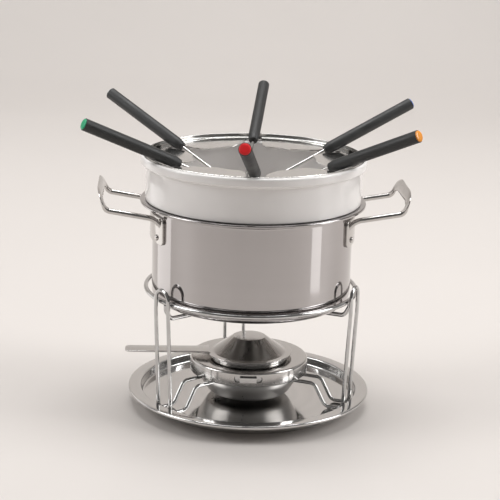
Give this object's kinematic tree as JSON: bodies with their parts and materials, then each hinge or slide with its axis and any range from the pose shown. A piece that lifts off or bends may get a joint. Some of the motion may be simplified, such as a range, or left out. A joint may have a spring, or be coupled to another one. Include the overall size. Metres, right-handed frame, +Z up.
{
  "type": "fondue pot set",
  "caption": "Stainless steel fondue set: round tray, wire stand, spirit burner with snuffer, pot with ceramic insert, fork ring and forks with coloured caps.",
  "frame": {"origin": "centre of the tray's underside, on the axis shared by tray, stand, burner, pot, insert and fork ring", "axes": "+Z up the shared axis, -Y towards the side with the burner's regulator slot, -X towards the snuffer cover's handle"},
  "size_m": [0.2662, 0.2976, 0.2482],
  "materials": {
    "tray_steel": "mirror polished stainless steel",
    "stand_wire": "bright plated wire",
    "burner_steel": "polished stainless steel",
    "gauze": "woven wire",
    "wadding": "matt fibre wadding",
    "pot_steel": "mirror polished stainless steel",
    "base_steel": "fine turned",
    "handle_steel": "polished stainless steel",
    "glaze_white": "gloss white glaze",
    "ring_steel": "polished stainless steel",
    "fork_steel": "polished stainless steel",
    "grip_plastic": "fine matt grain",
    "cap_red": "satin moulded plastic",
    "cap_orange": "satin moulded plastic",
    "cap_blue": "satin moulded plastic",
    "cap_yellow": "satin moulded plastic",
    "cap_white": "satin moulded plastic",
    "cap_green": "satin moulded plastic"
  },
  "bodies": {
    "tray": {"serving_tray": "tray_steel"},
    "stand": {"stand_ring": "stand_wire", "stand_leg_left": "stand_wire", "stand_leg_back": "stand_wire", "stand_leg_right": "stand_wire", "pot_rest_left": "stand_wire", "pot_rest_back": "stand_wire", "pot_rest_right": "stand_wire"},
    "burner": {"burner_bowl": "burner_steel", "burner_lid": "burner_steel", "burner_gauze": "gauze", "burner_wadding": "wadding"},
    "regulator": {"flame_regulator": "burner_steel"},
    "snuffer": {"snuffer_cover": "burner_steel"},
    "pot": {"pot_body": "pot_steel", "pot_base_disc": "base_steel", "handle_bracket_left": "handle_steel", "handle_rivets_left": "handle_steel", "handle_loop_left": "handle_steel", "handle_bracket_right": "handle_steel", "handle_rivets_right": "handle_steel", "handle_loop_right": "handle_steel"},
    "insert": {"ceramic_bowl": "glaze_white"},
    "ring": {"fork_ring": "ring_steel"},
    "fork_red": {"fork_red_tines": "fork_steel", "fork_red_grip": "grip_plastic", "fork_red_cap": "cap_red"},
    "fork_orange": {"fork_orange_tines": "fork_steel", "fork_orange_grip": "grip_plastic", "fork_orange_cap": "cap_orange"},
    "fork_blue": {"fork_blue_tines": "fork_steel", "fork_blue_grip": "grip_plastic", "fork_blue_cap": "cap_blue"},
    "fork_yellow": {"fork_yellow_tines": "fork_steel", "fork_yellow_grip": "grip_plastic", "fork_yellow_cap": "cap_yellow"},
    "fork_white": {"fork_white_tines": "fork_steel", "fork_white_grip": "grip_plastic", "fork_white_cap": "cap_white"},
    "fork_green": {"fork_green_tines": "fork_steel", "fork_green_grip": "grip_plastic", "fork_green_cap": "cap_green"}
  },
  "joints": [
    {"name": "stand_lift", "type": "slide", "parent": "tray", "child": "stand", "axis": [0, 0, 1], "range_m": [0, 0.06]},
    {"name": "burner_lift", "type": "slide", "parent": "stand", "child": "burner", "axis": [0, 0, 1], "range_m": [0, 0.008]},
    {"name": "regulator_turn", "type": "hinge", "parent": "burner", "child": "regulator", "pos_m": [0, 0, 0.035], "axis": [0, 0, 1], "range_deg": [-4.2, 4.2]},
    {"name": "snuffer_lift", "type": "slide", "parent": "burner", "child": "snuffer", "axis": [0, 0, 1], "range_m": [0, 0.014]},
    {"name": "pot_lift", "type": "slide", "parent": "stand", "child": "pot", "axis": [0, 0, 1], "range_m": [0, 0.12]},
    {"name": "insert_lift", "type": "slide", "parent": "pot", "child": "insert", "axis": [0, 0, 1], "range_m": [0, 0.09]},
    {"name": "ring_lift", "type": "slide", "parent": "insert", "child": "ring", "axis": [0, 0, 1], "range_m": [0, 0.07]},
    {"name": "fork_red_pull", "type": "slide", "parent": "ring", "child": "fork_red", "axis": [-0.0953, -0.9064, 0.4115], "range_m": [0, 0.17]},
    {"name": "fork_orange_pull", "type": "slide", "parent": "ring", "child": "fork_orange", "axis": [0.7373, -0.5357, 0.4115], "range_m": [0, 0.17]},
    {"name": "fork_blue_pull", "type": "slide", "parent": "ring", "child": "fork_blue", "axis": [0.8326, 0.3707, 0.4115], "range_m": [0, 0.17]},
    {"name": "fork_yellow_pull", "type": "slide", "parent": "ring", "child": "fork_yellow", "axis": [0.0953, 0.9064, 0.4115], "range_m": [0, 0.17]},
    {"name": "fork_white_pull", "type": "slide", "parent": "ring", "child": "fork_white", "axis": [-0.7373, 0.5357, 0.4115], "range_m": [0, 0.17]},
    {"name": "fork_green_pull", "type": "slide", "parent": "ring", "child": "fork_green", "axis": [-0.8326, -0.3707, 0.4115], "range_m": [0, 0.17]}
  ]
}
